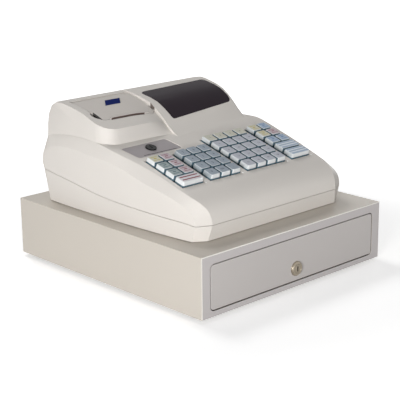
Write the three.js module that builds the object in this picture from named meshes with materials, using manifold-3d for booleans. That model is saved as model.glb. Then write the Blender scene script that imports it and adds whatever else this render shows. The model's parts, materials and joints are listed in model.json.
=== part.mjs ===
// A small ticket register standing on its cash drawer, as a three.js scene graph.
// Lengths are in millimetres, +Z is up, -Y is the front and +X is the right as the operator sees it.
// The origin is on the table, under the middle of the whole machine.

import * as THREE from 'three';
import { mergeVertices } from 'three/addons/utils/BufferGeometryUtils.js';
import Module from 'manifold-3d';

const wasm = await Module();
wasm.setup();

// Clearances that every piece shares
const fit = 0.3;
const overrun = 20;
const cornerSteps = 4;

// Drawer cabinet
const cabinetWidth = 350;
const cabinetDepth = 384;
const cabinetHeight = 83;
const sheet = 1.2;
const footHeight = 5;
const footRadius = 9;
const footSideInset = 17;
const footEndInset = 27;
const openingSideMargin = 15;
const openingTopMargin = 12.6;
const openingBottomMargin = 7.3;
const openingRadius = 7;
const railWidth = 12;

// Cash drawer, its lock and its till insert
const panelGap = 1.3;
const panelReturn = 9;
const traySideInset = 4.7;
const trayRise = 1.7;
const trayHeight = 47;
const trayDepth = 345;
const lockHeight = 30.8;
const lockBezelRadius = 10;
const lockBezelStand = 3;
const lockBezelEdgeShare = 0.55;
const lockBarrelRadius = 8.5;
const lockBarrelLength = 22;
const lockPlugRadius = 6;
const lockCamReach = 17;
const lockCamWidth = 8;
const lockCamThickness = 2;
const keySlotWidth = 1.6;
const keySlotHeight = 7;
const keySlotDepth = 5;
const tillDepth = 250;
const tillSetback = 33;
const tillHeight = 42;
const tillWall = 2.4;
const coinRowDepth = 78;
const tillColumns = 4;
const tillSideGap = 1;

// Register body
const frontSetback = 36.7;
const bodyDepth = 310;
const bodyHalfWidth = 160;
const bodyHeight = 148;
const bodyWall = 3;
const seamGap = 0.6;
const plinthHeight = 0.8;
const plinthInset = 4;
const backCornerRadius = 7;
const inletRadius = 4;
const inletPinRadius = 1;
const inletBossRadius = 7;
const inletDepth = 11;
const inletOffCentre = 90;
const inletHeight = 20;

// Outline of the body from front to back. Each row holds, as shares of bodyDepth, bodyHeight and
// bodyHalfWidth: deck edge along, up, out at the left and out at the right, cheek edge along and up.
const bodyShares = [
  [-0.0020, 0.1500, 0.7540, 0.7500, 0.0320, 0.1500],
  [0.0000, 0.2095, 0.7594, 0.7520, 0.0330, 0.1912],
  [0.0113, 0.2878, 0.7825, 0.7530, 0.0430, 0.2453],
  [0.0358, 0.3486, 0.8187, 0.7560, 0.0610, 0.2784],
  [0.0752, 0.3878, 0.8438, 0.7780, 0.0913, 0.3122],
  [0.1397, 0.4243, 0.8438, 0.8110, 0.1558, 0.3649],
  [0.2235, 0.4750, 0.8450, 0.8313, 0.2300, 0.4041],
  [0.3042, 0.5243, 0.8550, 0.8425, 0.3010, 0.4392],
  [0.3442, 0.5486, 0.8625, 0.8469, 0.3397, 0.4635],
  [0.3848, 0.5730, 0.8750, 0.8500, 0.3784, 0.4878],
  [0.4381, 0.6054, 0.8975, 0.8550, 0.4332, 0.5216],
  [0.4752, 0.6277, 0.9150, 0.8562, 0.4687, 0.5405],
  [0.5171, 0.6507, 0.9287, 0.8588, 0.5106, 0.5595],
  [0.5461, 0.6662, 0.9350, 0.8500, 0.5397, 0.5689],
  [0.5784, 0.6818, 0.9375, 0.8050, 0.5752, 0.5764],
  [0.6461, 0.6993, 0.9394, 0.7438, 0.6526, 0.5865],
  [0.7429, 0.7061, 0.9412, 0.7250, 0.7397, 0.6068],
  [0.8397, 0.6993, 0.9431, 0.7250, 0.8365, 0.6054],
  [0.9203, 0.6757, 0.9450, 0.7250, 0.9106, 0.5811],
  [0.9752, 0.6520, 0.9450, 0.7250, 0.9687, 0.5135],
  [0.9945, 0.6351, 0.9450, 0.7250, 0.9926, 0.4595],
  [1.0000, 0.6250, 0.9450, 0.7250, 1.0000, 0.4324],
];
const deckFrontRow = 5;
const deckRearRow = 11;
const samplesPerRow = 2;
const shoulderWidth = 8;
const shoulderRise = 1.2;
const shoulderStartShare = 0.04;
const shoulderEndShare = 0.12;
const baseFrontWidthShare = 0.8875;
const baseBackWidthShare = 0.947;
const seamFrontWidthShare = 0.883;
const seamBackWidthShare = 1;
const sideBulgeShare = 0.034;
const sideBulgePower = 2.5;
const cheekSwellShare = 0.016;
const baseFrontShare = 0.0516;
const cornerCutWidthShare = 0.11;
const cornerCutDepthShare = 0.039;
// Seam between the two housings: along and up, as shares of bodyDepth and bodyHeight
const seamShares = [
  [-0.0474, 0.1500],
  [0.0252, 0.1500],
  [0.0977, 0.1635],
  [0.3042, 0.1784],
  [0.5623, 0.2122],
  [0.8074, 0.2865],
  [0.9784, 0.3284],
  [1.0494, 0.3412],
];

// Tower: the printer at the left and the display at the right
const printerLeftShare = 0.944;
const towerDraft = 4;
const towerRootShare = 0.62;
const printerCornerRadius = 25;
const displayLeftShare = 0.2;
const displayRightShare = 0.75;
const displayCornerRadius = 10;
const displaySkew = 8;
const towerOverlap = 4;
// Printer block in side view, along and up, at its left wall and where it meets the display
const printerFrontShares = [[0.5558, 0.6419], [0.5703, 0.8230]];
const printerTopShares = [
  [0.5703, 0.8230],
  [0.6203, 0.8568],
  [0.6558, 0.8824],
  [0.6945, 0.9122],
  [0.7510, 0.9480],
  [0.8106, 0.9709],
  [0.8816, 0.9932],
];
const innerFrontShares = [[0.5277, 0.6297], [0.6126, 0.7730]];
const innerTopShares = [
  [0.5703, 0.7230],
  [0.6126, 0.7730],
  [0.6558, 0.8378],
  [0.6945, 0.8878],
  [0.7510, 0.9338],
  [0.8106, 0.9676],
  [0.8816, 0.9932],
];
const towerBackShares = [[0.9332, 0.9885], [0.9719, 0.9446], [0.9929, 0.8649], [1.0000, 0.7703]];
const displayShares = [
  [0.4961, 0.6203],
  [0.5203, 0.6628],
  [0.5494, 0.6993],
  [0.5816, 0.7493],
  [0.6203, 0.8176],
  [0.6610, 0.8797],
  [0.7010, 0.9284],
  [0.7461, 0.9595],
  [0.7913, 0.9797],
  [0.8365, 0.9973],
  [0.8816, 1.0061],
];
const twistStartShare = 0.656;
const twistPower = 3.4;
const twistSteps = 9;
const bandSteps = 3;
const topSteps = 8;
const notchRadius = 12.5;
const notchSmallRadius = 9;
const notchReach = 4.5;
const notchSmallReach = 2.5;
const notchShare = 0.7;
const notchDepth = 12;
const notchUndercut = 5;

// Printer cover, its hinge, and the mechanism under it
const coverLeftShare = 0.842;
const coverRightShare = 0.2125;
const coverFrontShare = 0.6526;
const coverGap = 0.5;
const coverSkin = 2.5;
const coverCornerRadius = 9;
const ledgeDepth = 6;
const hingeShare = 0.8623;
const hingeRadius = 4;
const hingePinRadius = 1.6;
const hingePinLength = 3;
const slotWidth = 2.4;
const slotLength = 61;
const lipLength = 69;
const lipHeight = 1.4;
const lipWidth = 2.6;
const lipShift = 5;
const paperWidth = 58;
const paperOffCentreShare = 0.5456;
const rollRadius = 25;
const rollCoreRadius = 6;
const rollShare = 0.7913;
const rollHeightShare = 0.655;
const wellSideGap = 1;
const platenRadius = 5;
const platenShaftRadius = 2;
const platenShare = 0.6881;
const platenHeightShare = 0.777;
const platenArmThickness = 2.5;
const platenArmGap = 1.5;
const mechanismDrop = 14;
const mechanismSideGap = 3;
const headAngle = Math.PI / 4;
const headGap = 0.4;
const headRise = 8;
const headFall = 4;

// Display window
// Corners as shares of bodyHalfWidth and bodyDepth, from the front left one round
const lensShares = [[-0.0960, 0.6055], [0.7125, 0.6430], [0.6969, 0.8400], [-0.1375, 0.8203]];
const lensThickness = 2;
const lensCornerRadii = [3, 9, 7, 10];

// Keyboard: one entry for each block from left to right
const keyPitch = 19.6;
const keyBlocks = [
  { columns: 2, rows: 4, wideRows: [0] },
  { columns: 3, rows: 4, wideRows: [] },
  { columns: 4, rows: 5, wideRows: [] },
  { columns: 2, rows: 5, wideRows: [0, 1] },
];
const keyboardLeftShare = 0.803;
const keyboardFrontShare = 0.1477;
const blockGap = 10.5;
const keyGap = 1.7;
const keyTopInset = 1.1;
const keyStand = 7;
const keyDrop = 1;
const keyRim = 1.3;
const keyCornerRadius = 2.2;
const keyTopRadius = 1.6;
const stemSize = 5;
const stemRadius = 0.6;
const stemLength = 9.4;
const wellMargin = 0.6;
const frameTopDepth = 5.8;
const framePlate = 3;
const frameMargin = 1.5;
const frameGap = 1.2;

// Switch plate recess and the mode switch in it
const plateShares = [[-0.8056, 0.4203], [-0.2987, 0.4268], [-0.3356, 0.5271], [-0.8525, 0.5223]];
const plateDepth = 1.2;
const plateCornerRadius = 4;
const switchShare = 0.4815;
const switchOffCentreShare = 0.578;
const switchRadius = 7.8;
const switchStand = 2.2;
const switchShankRadius = 6;
const switchShankLength = 12;

// Finishes
const finishes = {
  steel: { color: 0xc9c3b4, roughness: 0.55, metalness: 0.1 },
  panel: { color: 0xc6c4c4, roughness: 0.5, metalness: 0.1 },
  upper: { color: 0xd6d1ca, roughness: 0.5, metalness: 0 },
  lower: { color: 0xdcd8d0, roughness: 0.5, metalness: 0 },
  cover: { color: 0xb9b5b0, roughness: 0.5, metalness: 0 },
  black: { color: 0x1c1c1e, roughness: 0.5, metalness: 0 },
  lens: { color: 0x2a262a, roughness: 0.15, metalness: 0 },
  nickel: { color: 0xa89c8a, roughness: 0.3, metalness: 0.9 },
  till: { color: 0x3a3b3d, roughness: 0.6, metalness: 0 },
  paper: { color: 0xf2f0ea, roughness: 0.9, metalness: 0 },
  rubber: { color: 0x262626, roughness: 0.8, metalness: 0 },
  mechanism: { color: 0x6b6d70, roughness: 0.4, metalness: 0.6 },
  redKey: { color: 0xd9aeb2, roughness: 0.4, metalness: 0 },
  digitKey: { color: 0x8d9aaa, roughness: 0.4, metalness: 0 },
  itemKey: { color: 0xaeb0bd, roughness: 0.4, metalness: 0 },
  blueKey: { color: 0x8fb0d4, roughness: 0.4, metalness: 0 },
};

// Places worked out from the sizes above
const cabinetTop = footHeight + cabinetHeight;
const cabinetFront = -cabinetDepth / 2;
const bodyFront = cabinetFront + frontSetback;
const alongAt = (share) => bodyFront + share * bodyDepth;
const heightAt = (share) => cabinetTop + share * bodyHeight;
const outAt = (share) => share * bodyHalfWidth;

// Solids and booleans

function solidFrom(geometry) {
  const bare = geometry.clone();
  bare.deleteAttribute('normal');
  bare.deleteAttribute('uv');
  const merged = mergeVertices(bare);
  const index = merged.index.array;
  const kept = [];
  for (let i = 0; i < index.length; i += 3) {
    const [a, b, c] = [index[i], index[i + 1], index[i + 2]];
    if (a !== b && b !== c && c !== a) kept.push(a, b, c);
  }
  return new wasm.Manifold(new wasm.Mesh({
    numProp: 3,
    vertProperties: new Float32Array(merged.attributes.position.array),
    triVerts: new Uint32Array(kept),
  }));
}

function geometryFrom(solid) {
  const mesh = solid.getMesh();
  const geometry = new THREE.BufferGeometry();
  const positions = new Float32Array(mesh.numVert * 3);
  for (let i = 0; i < mesh.numVert; i++) {
    for (let k = 0; k < 3; k++) positions[i * 3 + k] = mesh.vertProperties[i * mesh.numProp + k];
  }
  geometry.setAttribute('position', new THREE.BufferAttribute(positions, 3));
  geometry.setIndex(new THREE.BufferAttribute(new Uint32Array(mesh.triVerts), 1));
  geometry.computeVertexNormals();
  return geometry;
}

function signedVolume(positions, indices) {
  const corner = (k) => new THREE.Vector3(...positions.slice(indices[k] * 3, indices[k] * 3 + 3));
  let sum = 0;
  for (let i = 0; i < indices.length; i += 3) {
    sum += corner(i).dot(corner(i + 1).cross(corner(i + 2)));
  }
  return sum;
}

// A closed solid through rings that all have the same number of points
function loft(rings) {
  const count = rings[0].length;
  const positions = rings.flat().flatMap((p) => [p.x, p.y, p.z]);
  const indices = [];
  for (let r = 0; r + 1 < rings.length; r++) {
    for (let i = 0; i < count; i++) {
      const near = r * count + i;
      const next = r * count + (i + 1) % count;
      indices.push(near, next, next + count, near, next + count, near + count);
    }
  }
  const closeEnd = (first, flip) => {
    const middle = new THREE.Vector3();
    for (let i = 0; i < count; i++) {
      middle.add(new THREE.Vector3(...positions.slice((first + i) * 3, (first + i) * 3 + 3)));
    }
    middle.divideScalar(count);
    const hub = positions.length / 3;
    positions.push(middle.x, middle.y, middle.z);
    for (let i = 0; i < count; i++) {
      const pair = [first + i, first + (i + 1) % count];
      if (flip) pair.reverse();
      indices.push(hub, ...pair);
    }
  };
  closeEnd(0, true);
  closeEnd((rings.length - 1) * count, false);
  if (signedVolume(positions, indices) < 0) indices.reverse();
  const geometry = new THREE.BufferGeometry();
  geometry.setAttribute('position', new THREE.Float32BufferAttribute(positions, 3));
  geometry.setIndex(indices);
  return geometry;
}

function box(x0, x1, y0, y1, z0, z1) {
  const geometry = new THREE.BoxGeometry(x1 - x0, y1 - y0, z1 - z0);
  geometry.translate((x0 + x1) / 2, (y0 + y1) / 2, (z0 + z1) / 2);
  return solidFrom(geometry);
}

function roundedShape(x0, x1, y0, y1, radius) {
  const shape = new THREE.Shape();
  shape.moveTo(x0 + radius, y0);
  shape.lineTo(x1 - radius, y0);
  shape.absarc(x1 - radius, y0 + radius, radius, -Math.PI / 2, 0);
  shape.lineTo(x1, y1 - radius);
  shape.absarc(x1 - radius, y1 - radius, radius, 0, Math.PI / 2);
  shape.lineTo(x0 + radius, y1);
  shape.absarc(x0 + radius, y1 - radius, radius, Math.PI / 2, Math.PI);
  shape.lineTo(x0, y0 + radius);
  shape.absarc(x0 + radius, y0 + radius, radius, Math.PI, 1.5 * Math.PI);
  return shape;
}

function uprightPrism(shape, z0, z1, curveSegments = 6) {
  const geometry = new THREE.ExtrudeGeometry(shape, { depth: z1 - z0, bevelEnabled: false, curveSegments });
  geometry.translate(0, 0, z0);
  return geometry;
}

// A shape drawn in X and Z that runs along Y, from y0 to y1
function alongY(shape, y0, y1, curveSegments = 6) {
  const geometry = uprightPrism(shape, -y1, -y0, curveSegments);
  geometry.rotateX(Math.PI / 2);
  return solidFrom(geometry);
}

// A profile of [y, z] points that runs along X, from x0 to x1
function alongX(points, x0, x1) {
  const shape = new THREE.Shape(points.map(([y, z]) => new THREE.Vector2(y, z)));
  const geometry = new THREE.ExtrudeGeometry(shape, { depth: x1 - x0, bevelEnabled: false });
  geometry.applyMatrix4(new THREE.Matrix4().makeBasis(
    new THREE.Vector3(0, 1, 0), new THREE.Vector3(0, 0, 1), new THREE.Vector3(1, 0, 0)));
  geometry.translate(x0, 0, 0);
  return solidFrom(geometry);
}

function rod(radius, length, sides = 20) {
  return new THREE.CylinderGeometry(radius, radius, length, sides);
}

function rodAlongX(radius, x0, x1, y, z, sides) {
  const geometry = rod(radius, x1 - x0, sides);
  geometry.rotateZ(Math.PI / 2);
  geometry.translate((x0 + x1) / 2, y, z);
  return solidFrom(geometry);
}

function rodAlongY(radius, y0, y1, x, z, sides) {
  const geometry = rod(radius, y1 - y0, sides);
  geometry.translate(x, (y0 + y1) / 2, z);
  return solidFrom(geometry);
}

function rodAlongZ(radius, z0, z1, x, y, sides) {
  const geometry = rod(radius, z1 - z0, sides);
  geometry.rotateX(Math.PI / 2);
  geometry.translate(x, y, (z0 + z1) / 2);
  return solidFrom(geometry);
}

function meshOf(name, solid, finish) {
  const mesh = new THREE.Mesh(geometryFrom(solid), new THREE.MeshStandardMaterial(finishes[finish]));
  mesh.name = name;
  return mesh;
}

// Drawer cabinet: a steel box with a framed opening, rails and rubber feet

const halfWidth = cabinetWidth / 2;
const opening = {
  left: -halfWidth + openingSideMargin,
  right: halfWidth - openingSideMargin,
  bottom: footHeight + openingBottomMargin,
  top: cabinetTop - openingTopMargin,
};
const trayLeft = opening.left + panelGap + traySideInset;
const trayRight = -trayLeft;
const trayBottom = opening.bottom + trayRise;

function cabinetSolid() {
  const outside = box(-halfWidth, halfWidth, cabinetFront, -cabinetFront, footHeight, cabinetTop);
  const inside = box(-halfWidth + sheet, halfWidth - sheet, cabinetFront + sheet, -cabinetFront - sheet,
    footHeight + sheet, cabinetTop - sheet);
  const mouth = alongY(roundedShape(opening.left, opening.right, opening.bottom, opening.top, openingRadius),
    cabinetFront - overrun, cabinetFront + overrun);
  let cabinet = outside.subtract(inside).subtract(mouth);
  const railTop = trayBottom - fit;
  const railFloor = footHeight + sheet / 2;
  for (const side of [-1, 1]) {
    const outer = side * (trayRight - traySideInset);
    const inner = outer - side * railWidth;
    const [x0, x1] = [Math.min(outer, inner), Math.max(outer, inner)];
    const [y0, y1] = [cabinetFront + panelReturn + sheet, -cabinetFront - sheet / 2];
    const shelf = box(x0, x1, y0, y1, railTop - sheet, railTop);
    const webLeft = side < 0 ? x0 : x1 - sheet;
    const web = box(webLeft, webLeft + sheet, y0, y1, railFloor, railTop);
    cabinet = cabinet.add(shelf).add(web);
    for (const end of [-1, 1]) {
      cabinet = cabinet.add(rodAlongZ(footRadius, 0, footHeight + sheet / 2,
        side * (halfWidth - footSideInset), end * (cabinetDepth / 2 - footEndInset)));
    }
  }
  return cabinet;
}

// Cash drawer: a folded front panel with an open steel tray behind it, and the lock's barrel

const panel = {
  left: opening.left + panelGap,
  right: opening.right - panelGap,
  bottom: opening.bottom + panelGap,
  top: opening.top - panelGap,
};
const trayBack = cabinetFront + trayDepth;
const barrelBack = cabinetFront + lockBarrelLength;

function drawerSolid() {
  const cornerRadius = openingRadius - panelGap;
  const panelOutline = (inset) => roundedShape(panel.left + inset, panel.right - inset,
    panel.bottom + inset, panel.top - inset, cornerRadius - inset);
  const pan = alongY(panelOutline(0), cabinetFront, cabinetFront + panelReturn)
    .subtract(alongY(panelOutline(sheet), cabinetFront + sheet, cabinetFront + panelReturn + overrun));
  const trayTop = trayBottom + trayHeight;
  const tray = box(trayLeft, trayRight, cabinetFront + sheet / 2, trayBack, trayBottom, trayTop)
    .subtract(box(trayLeft + sheet, trayRight - sheet, cabinetFront + sheet, trayBack - sheet,
      trayBottom + sheet, trayTop + overrun));
  const bezel = new THREE.LatheGeometry([
    new THREE.Vector2(0, -lockBarrelLength),
    new THREE.Vector2(lockBarrelRadius, -lockBarrelLength),
    new THREE.Vector2(lockBarrelRadius, 0),
    new THREE.Vector2(lockBezelRadius, 0),
    new THREE.Vector2(lockBezelRadius, lockBezelStand * lockBezelEdgeShare),
    new THREE.Vector2(lockBezelRadius - lockBezelStand * (1 - lockBezelEdgeShare), lockBezelStand),
    new THREE.Vector2(0, lockBezelStand),
  ], 24);
  bezel.rotateX(Math.PI);
  bezel.translate(0, cabinetFront, lockHeight);
  const bore = rodAlongY(lockPlugRadius + fit, cabinetFront - overrun, barrelBack + overrun,
    0, lockHeight, 24);
  return pan.add(tray).add(solidFrom(bezel)).subtract(bore);
}

function lockPlugSolid() {
  const face = cabinetFront - lockBezelStand;
  const camFront = barrelBack + fit;
  const camBack = camFront + lockCamThickness;
  const plug = rodAlongY(lockPlugRadius, face, camBack, 0, lockHeight, 24);
  const slot = box(-keySlotWidth / 2, keySlotWidth / 2, face - overrun, face + keySlotDepth,
    lockHeight - keySlotHeight / 2, lockHeight + keySlotHeight / 2);
  const cam = box(-lockCamWidth / 2, lockCamWidth / 2, camFront, camBack,
    lockHeight, lockHeight + lockCamReach);
  return plug.subtract(slot).add(cam);
}

// Till insert: a moulded tray with coin cups in front and note wells behind

function tillSolid() {
  const x0 = trayLeft + sheet + tillSideGap;
  const x1 = -x0;
  const y0 = cabinetFront + tillSetback;
  const y1 = y0 + tillDepth;
  const z0 = trayBottom + sheet + fit;
  const z1 = z0 + tillHeight;
  let till = box(x0, x1, y0, y1, z0, z1);
  const cell = (x1 - x0 - tillWall) / tillColumns;
  const rows = [[y0 + tillWall, y0 + coinRowDepth], [y0 + coinRowDepth + tillWall, y1 - tillWall]];
  for (let column = 0; column < tillColumns; column++) {
    const left = x0 + tillWall + column * cell;
    const right = left + cell - tillWall;
    for (const [front, back] of rows) {
      till = till.subtract(box(left, right, front, back, z0 + tillWall, z1 + overrun));
    }
  }
  return till;
}

// Body of the register, as rings across its width that run from the front to the back

function seamCurve() {
  return new THREE.SplineCurve(
    seamShares.map(([along, up]) => new THREE.Vector2(alongAt(along), heightAt(up))));
}

function seamHeight(y) {
  const points = seamCurve().getPoints(40);
  let k = 1;
  while (k < points.length - 1 && points[k].x < y) k++;
  const [a, b] = [points[k - 1], points[k]];
  return a.y + (b.y - a.y) * (y - a.x) / (b.x - a.x);
}

function cornerInset(y, back) {
  const past = y - (back - backCornerRadius);
  if (past <= 0) return 0;
  return backCornerRadius - Math.sqrt(Math.max(0, backCornerRadius ** 2 - past ** 2));
}

// The wall is 0 for the outside of the body, and the wall's thickness for its hollow
function bodySolid(wall) {
  const front = bodyFront + wall;
  const back = bodyFront + bodyDepth - wall;
  const along = (share) => front + share * (back - front);
  const up = (share) => heightAt(share) - wall;
  const out = (share) => outAt(share) - wall;
  const spline = (columns) => new THREE.CatmullRomCurve3(
    bodyShares.map((row) => new THREE.Vector3(...columns.map((k) => (k === null ? 0 : row[k])))));
  const deckLeft = spline([0, 1, 2]);
  const deckRight = spline([0, 1, 3]);
  const cheek = spline([4, 5, null]);
  const steps = (bodyShares.length - 1) * samplesPerRow;
  const cheekStart = bodyShares[0][4];
  const floor = cabinetTop + plinthHeight + wall;
  const width = (first, last, progress) => out(THREE.MathUtils.lerp(first, last, progress)
    + sideBulgeShare * (1 - Math.abs(2 * progress - 1) ** sideBulgePower));
  const rings = [];
  for (let i = 0; i <= steps; i++) {
    const edges = [deckLeft.getPoint(i / steps), deckRight.getPoint(i / steps)];
    const side = cheek.getPoint(i / steps);
    const progress = THREE.MathUtils.clamp((side.x - cheekStart) / (1 - cheekStart), 0, 1);
    const y = along(side.x);
    const baseY = along(THREE.MathUtils.lerp(baseFrontShare, 1, progress));
    const seamZ = seamHeight(y);
    const cheekZ = Math.max(up(side.y), seamZ);
    const seamX = width(seamFrontWidthShare, seamBackWidthShare, progress) - cornerInset(y, back);
    const baseX = width(baseFrontWidthShare, baseBackWidthShare, progress) - cornerInset(baseY, back);
    const swell = outAt(cheekSwellShare) * Math.sqrt(progress);
    const half = (edge) => {
      const deckY = along(edge.x);
      const deckX = out(edge.z) - cornerInset(deckY, back);
      const deckZ = Math.max(up(edge.y), i === 0 ? seamZ : seamZ + fit);
      const rise = shoulderRise * THREE.MathUtils.smoothstep(edge.x, shoulderStartShare, shoulderEndShare);
      return [[baseX, baseY, floor], [seamX, y, seamZ], [seamX + swell, y, (seamZ + cheekZ) / 2],
        [seamX + swell / 2, y, cheekZ], [deckX, deckY, deckZ], [deckX - shoulderWidth, deckY, deckZ + rise]];
    };
    const left = half(edges[0]).map(([x, py, z]) => new THREE.Vector3(-x, py, z));
    const right = half(edges[1]).map(([x, py, z]) => new THREE.Vector3(x, py, z));
    rings.push([...left, ...right.reverse()]);
  }
  const cornerX = out(baseFrontWidthShare - cornerCutWidthShare);
  const cornerY = along(baseFrontShare - cornerCutDepthShare);
  rings.unshift(rings[0].map((p, k) => {
    const edge = rings[0][k < rings[0].length / 2 ? 4 : rings[0].length - 5];
    return k === 0 || k === rings[0].length - 1
      ? new THREE.Vector3(Math.sign(p.x) * cornerX, cornerY, floor)
      : (Math.abs(p.x) > Math.abs(edge.x) ? edge : p).clone();
  }));
  return solidFrom(loft(rings));
}

// Height of a curve of [along, up] shares at a place y
function profileHeight(shares, y) {
  let k = 1;
  while (k < shares.length - 1 && alongAt(shares[k][0]) < y) k++;
  const [a, b] = [shares[k - 1], shares[k]];
  const part = (y - alongAt(a[0])) / (alongAt(b[0]) - alongAt(a[0]));
  return heightAt(a[1] + (b[1] - a[1]) * part);
}

// Printer block: its steep front leans back and twists until it runs beside the display's face
function printerBlock(wall) {
  const left = -outAt(printerLeftShare) + wall;
  const right = -outAt(displayLeftShare) + towerOverlap;
  const ridge = alongAt(printerTopShares.at(-1)[0]);
  const back = bodyFront + bodyDepth - wall;
  const root = heightAt(towerRootShare);
  const twistStart = -outAt(twistStartShare);
  const corner = printerCornerRadius - wall;
  const stations = [];
  for (let k = 0; k <= 5; k++) {
    const angle = k / 5 * Math.PI / 2;
    stations.push({ x: left + corner * (1 - Math.cos(angle)), recess: corner * (1 - Math.sin(angle)) });
  }
  const twistEnd = right - towerOverlap;
  for (let k = 0; k <= twistSteps; k++) {
    stations.push({ x: twistStart + (twistEnd - twistStart) * (k / twistSteps) ** (1 / 2), recess: 0 });
  }
  stations.push({ x: right, recess: 0 });
  const rings = stations.map(({ x, recess }) => {
    const twist = THREE.MathUtils.clamp((x - twistStart) / (twistEnd - twistStart), 0, 1) ** twistPower;
    const mix = (a, b) => a + (b - a) * twist;
    const foot = [0, 1].map((k) => mix(printerFrontShares[0][k], innerFrontShares[0][k]));
    const brow = [0, 1].map((k) => mix(printerFrontShares[1][k], innerFrontShares[1][k]));
    const footY = alongAt(foot[0]) + recess + wall;
    const browY = alongAt(brow[0]) + recess + wall;
    const points = [[footY, heightAt(foot[1]) - overrun]];
    for (let k = 0; k < bandSteps; k++) {
      points.push([footY + k / bandSteps * (browY - footY),
        heightAt(foot[1] + k / bandSteps * (brow[1] - foot[1])) - wall]);
    }
    for (let k = 0; k <= topSteps; k++) {
      const y = browY + k / topSteps * (ridge - browY);
      const z = mix(profileHeight(printerTopShares, y), profileHeight(innerTopShares, y));
      points.push([y, z - wall]);
    }
    const fromLeft = x - left;
    const backRecess = fromLeft < backCornerRadius
      ? backCornerRadius - Math.sqrt(backCornerRadius ** 2 - (backCornerRadius - fromLeft) ** 2) : 0;
    for (const [alongShare, upShare] of towerBackShares) {
      const part = (alongAt(alongShare) - ridge) / (bodyFront + bodyDepth - ridge);
      points.push([ridge + part * (back - backRecess - ridge), heightAt(upShare) - wall]);
    }
    points.push([back - backRecess, root - overrun]);
    const lean = (z) => Math.max(0, Math.min(1, (corner - fromLeft) / corner))
      * towerDraft * (z - root) / (heightAt(1) - root);
    return points.map(([y, z]) => new THREE.Vector3(x + lean(z), y, z));
  });
  return solidFrom(loft(rings));
}

// Display block: a barrel face that carries the window
function displayBlock(wall) {
  const left = -outAt(displayLeftShare) + wall;
  const right = outAt(displayRightShare) - wall;
  const ridge = alongAt(displayShares.at(-1)[0]);
  const face = alongAt(displayShares[0][0]);
  const back = bodyFront + bodyDepth - wall;
  const corner = displayCornerRadius - wall;
  const skewAt = (x) => displaySkew * (x - left) / (right - left);
  const stations = [{ x: left, recess: 0 }, { x: (left + right) / 2, recess: skewAt((left + right) / 2) }];
  for (let k = 0; k <= 4; k++) {
    const angle = k / 4 * Math.PI / 2;
    const x = right - corner * (1 - Math.sin(angle));
    stations.push({ x, recess: skewAt(x) + corner * (1 - Math.cos(angle)) });
  }
  const rings = stations.map(({ x, recess }) => {
    const points = [[face + recess + wall, heightAt(displayShares[0][1]) - overrun]];
    for (const [alongShare, upShare] of displayShares) {
      const y = alongAt(alongShare);
      const part = 1 - (y - face) / (ridge - face);
      points.push([y + (recess + wall) * part, heightAt(upShare) - wall]);
    }
    for (const [alongShare, upShare] of towerBackShares) {
      const part = (alongAt(alongShare) - ridge) / (bodyFront + bodyDepth - ridge);
      points.push([ridge + part * (back - ridge), heightAt(upShare) - wall]);
    }
    points.push([back, heightAt(displayShares[0][1]) - overrun]);
    return points.map(([y, z]) => new THREE.Vector3(x, y, z));
  });
  return solidFrom(loft(rings));
}

function seamRegion(above) {
  const edge = above ? seamGap / 2 : -seamGap / 2;
  const line = seamCurve().getPoints(20).map((p) => [p.x, p.y + edge]);
  const far = above ? heightAt(1) + overrun : cabinetTop - overrun;
  const points = [...line, [line.at(-1)[0], far], [line[0][0], far]];
  return alongX(above ? points : points.reverse(), -bodyHalfWidth - overrun, bodyHalfWidth + overrun);
}

// The deck carries the keys: a frame whose origin is on its surface, at the keyboard's front left corner
const deckFront = bodyShares[deckFrontRow];
const deckRear = bodyShares[deckRearRow];
const deckRun = (deckRear[0] - deckFront[0]) * bodyDepth;
const deckClimb = (deckRear[1] - deckFront[1]) * bodyHeight;
const deckSlope = Math.atan2(deckClimb, deckRun);
const keyboardLeft = -outAt(keyboardLeftShare);
const keyboardFront = alongAt(keyboardFrontShare);
const keyboardHeight = heightAt(deckFront[1]) + shoulderRise
  + (keyboardFront - alongAt(deckFront[0])) * Math.tan(deckSlope);
const deckFrame = new THREE.Matrix4().makeRotationX(deckSlope)
  .setPosition(keyboardLeft, keyboardFront, keyboardHeight);

const toDeck = (geometry) => solidFrom(geometry.clone().applyMatrix4(deckFrame));

let nextLeft = 0;
const blocks = keyBlocks.map((block) => {
  const left = nextLeft;
  nextLeft += block.columns * keyPitch + blockGap;
  return { ...block, left, right: left + block.columns * keyPitch, back: block.rows * keyPitch };
});

const keyPlaces = blocks.flatMap((block, b) => {
  const places = [];
  for (let row = 0; row < block.rows; row++) {
    const wide = block.wideRows.includes(row);
    for (let column = 0; column < (wide ? 1 : block.columns); column++) {
      const cells = wide ? block.columns : 1;
      places.push({
        block: b,
        row,
        column,
        wide,
        x: block.left + (column + cells / 2) * keyPitch,
        y: (row + 1 / 2) * keyPitch,
        width: cells * keyPitch - keyGap,
      });
    }
  }
  return places;
});

function deckBox(x0, x1, y0, y1, z0, z1) {
  const geometry = new THREE.BoxGeometry(x1 - x0, y1 - y0, z1 - z0);
  geometry.translate((x0 + x1) / 2, (y0 + y1) / 2, (z0 + z1) / 2);
  return geometry;
}

function roundedRing(width, depth, radius, z) {
  const points = [];
  const corners = [[1, -1, -Math.PI / 2], [1, 1, 0], [-1, 1, Math.PI / 2], [-1, -1, Math.PI]];
  for (const [sx, sy, start] of corners) {
    for (let k = 0; k < 3; k++) {
      const angle = start + k / 2 * Math.PI / 2;
      points.push(new THREE.Vector3(
        sx * (width / 2 - radius) + radius * Math.cos(angle),
        sy * (depth / 2 - radius) + radius * Math.sin(angle), z));
    }
  }
  return points;
}

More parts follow.
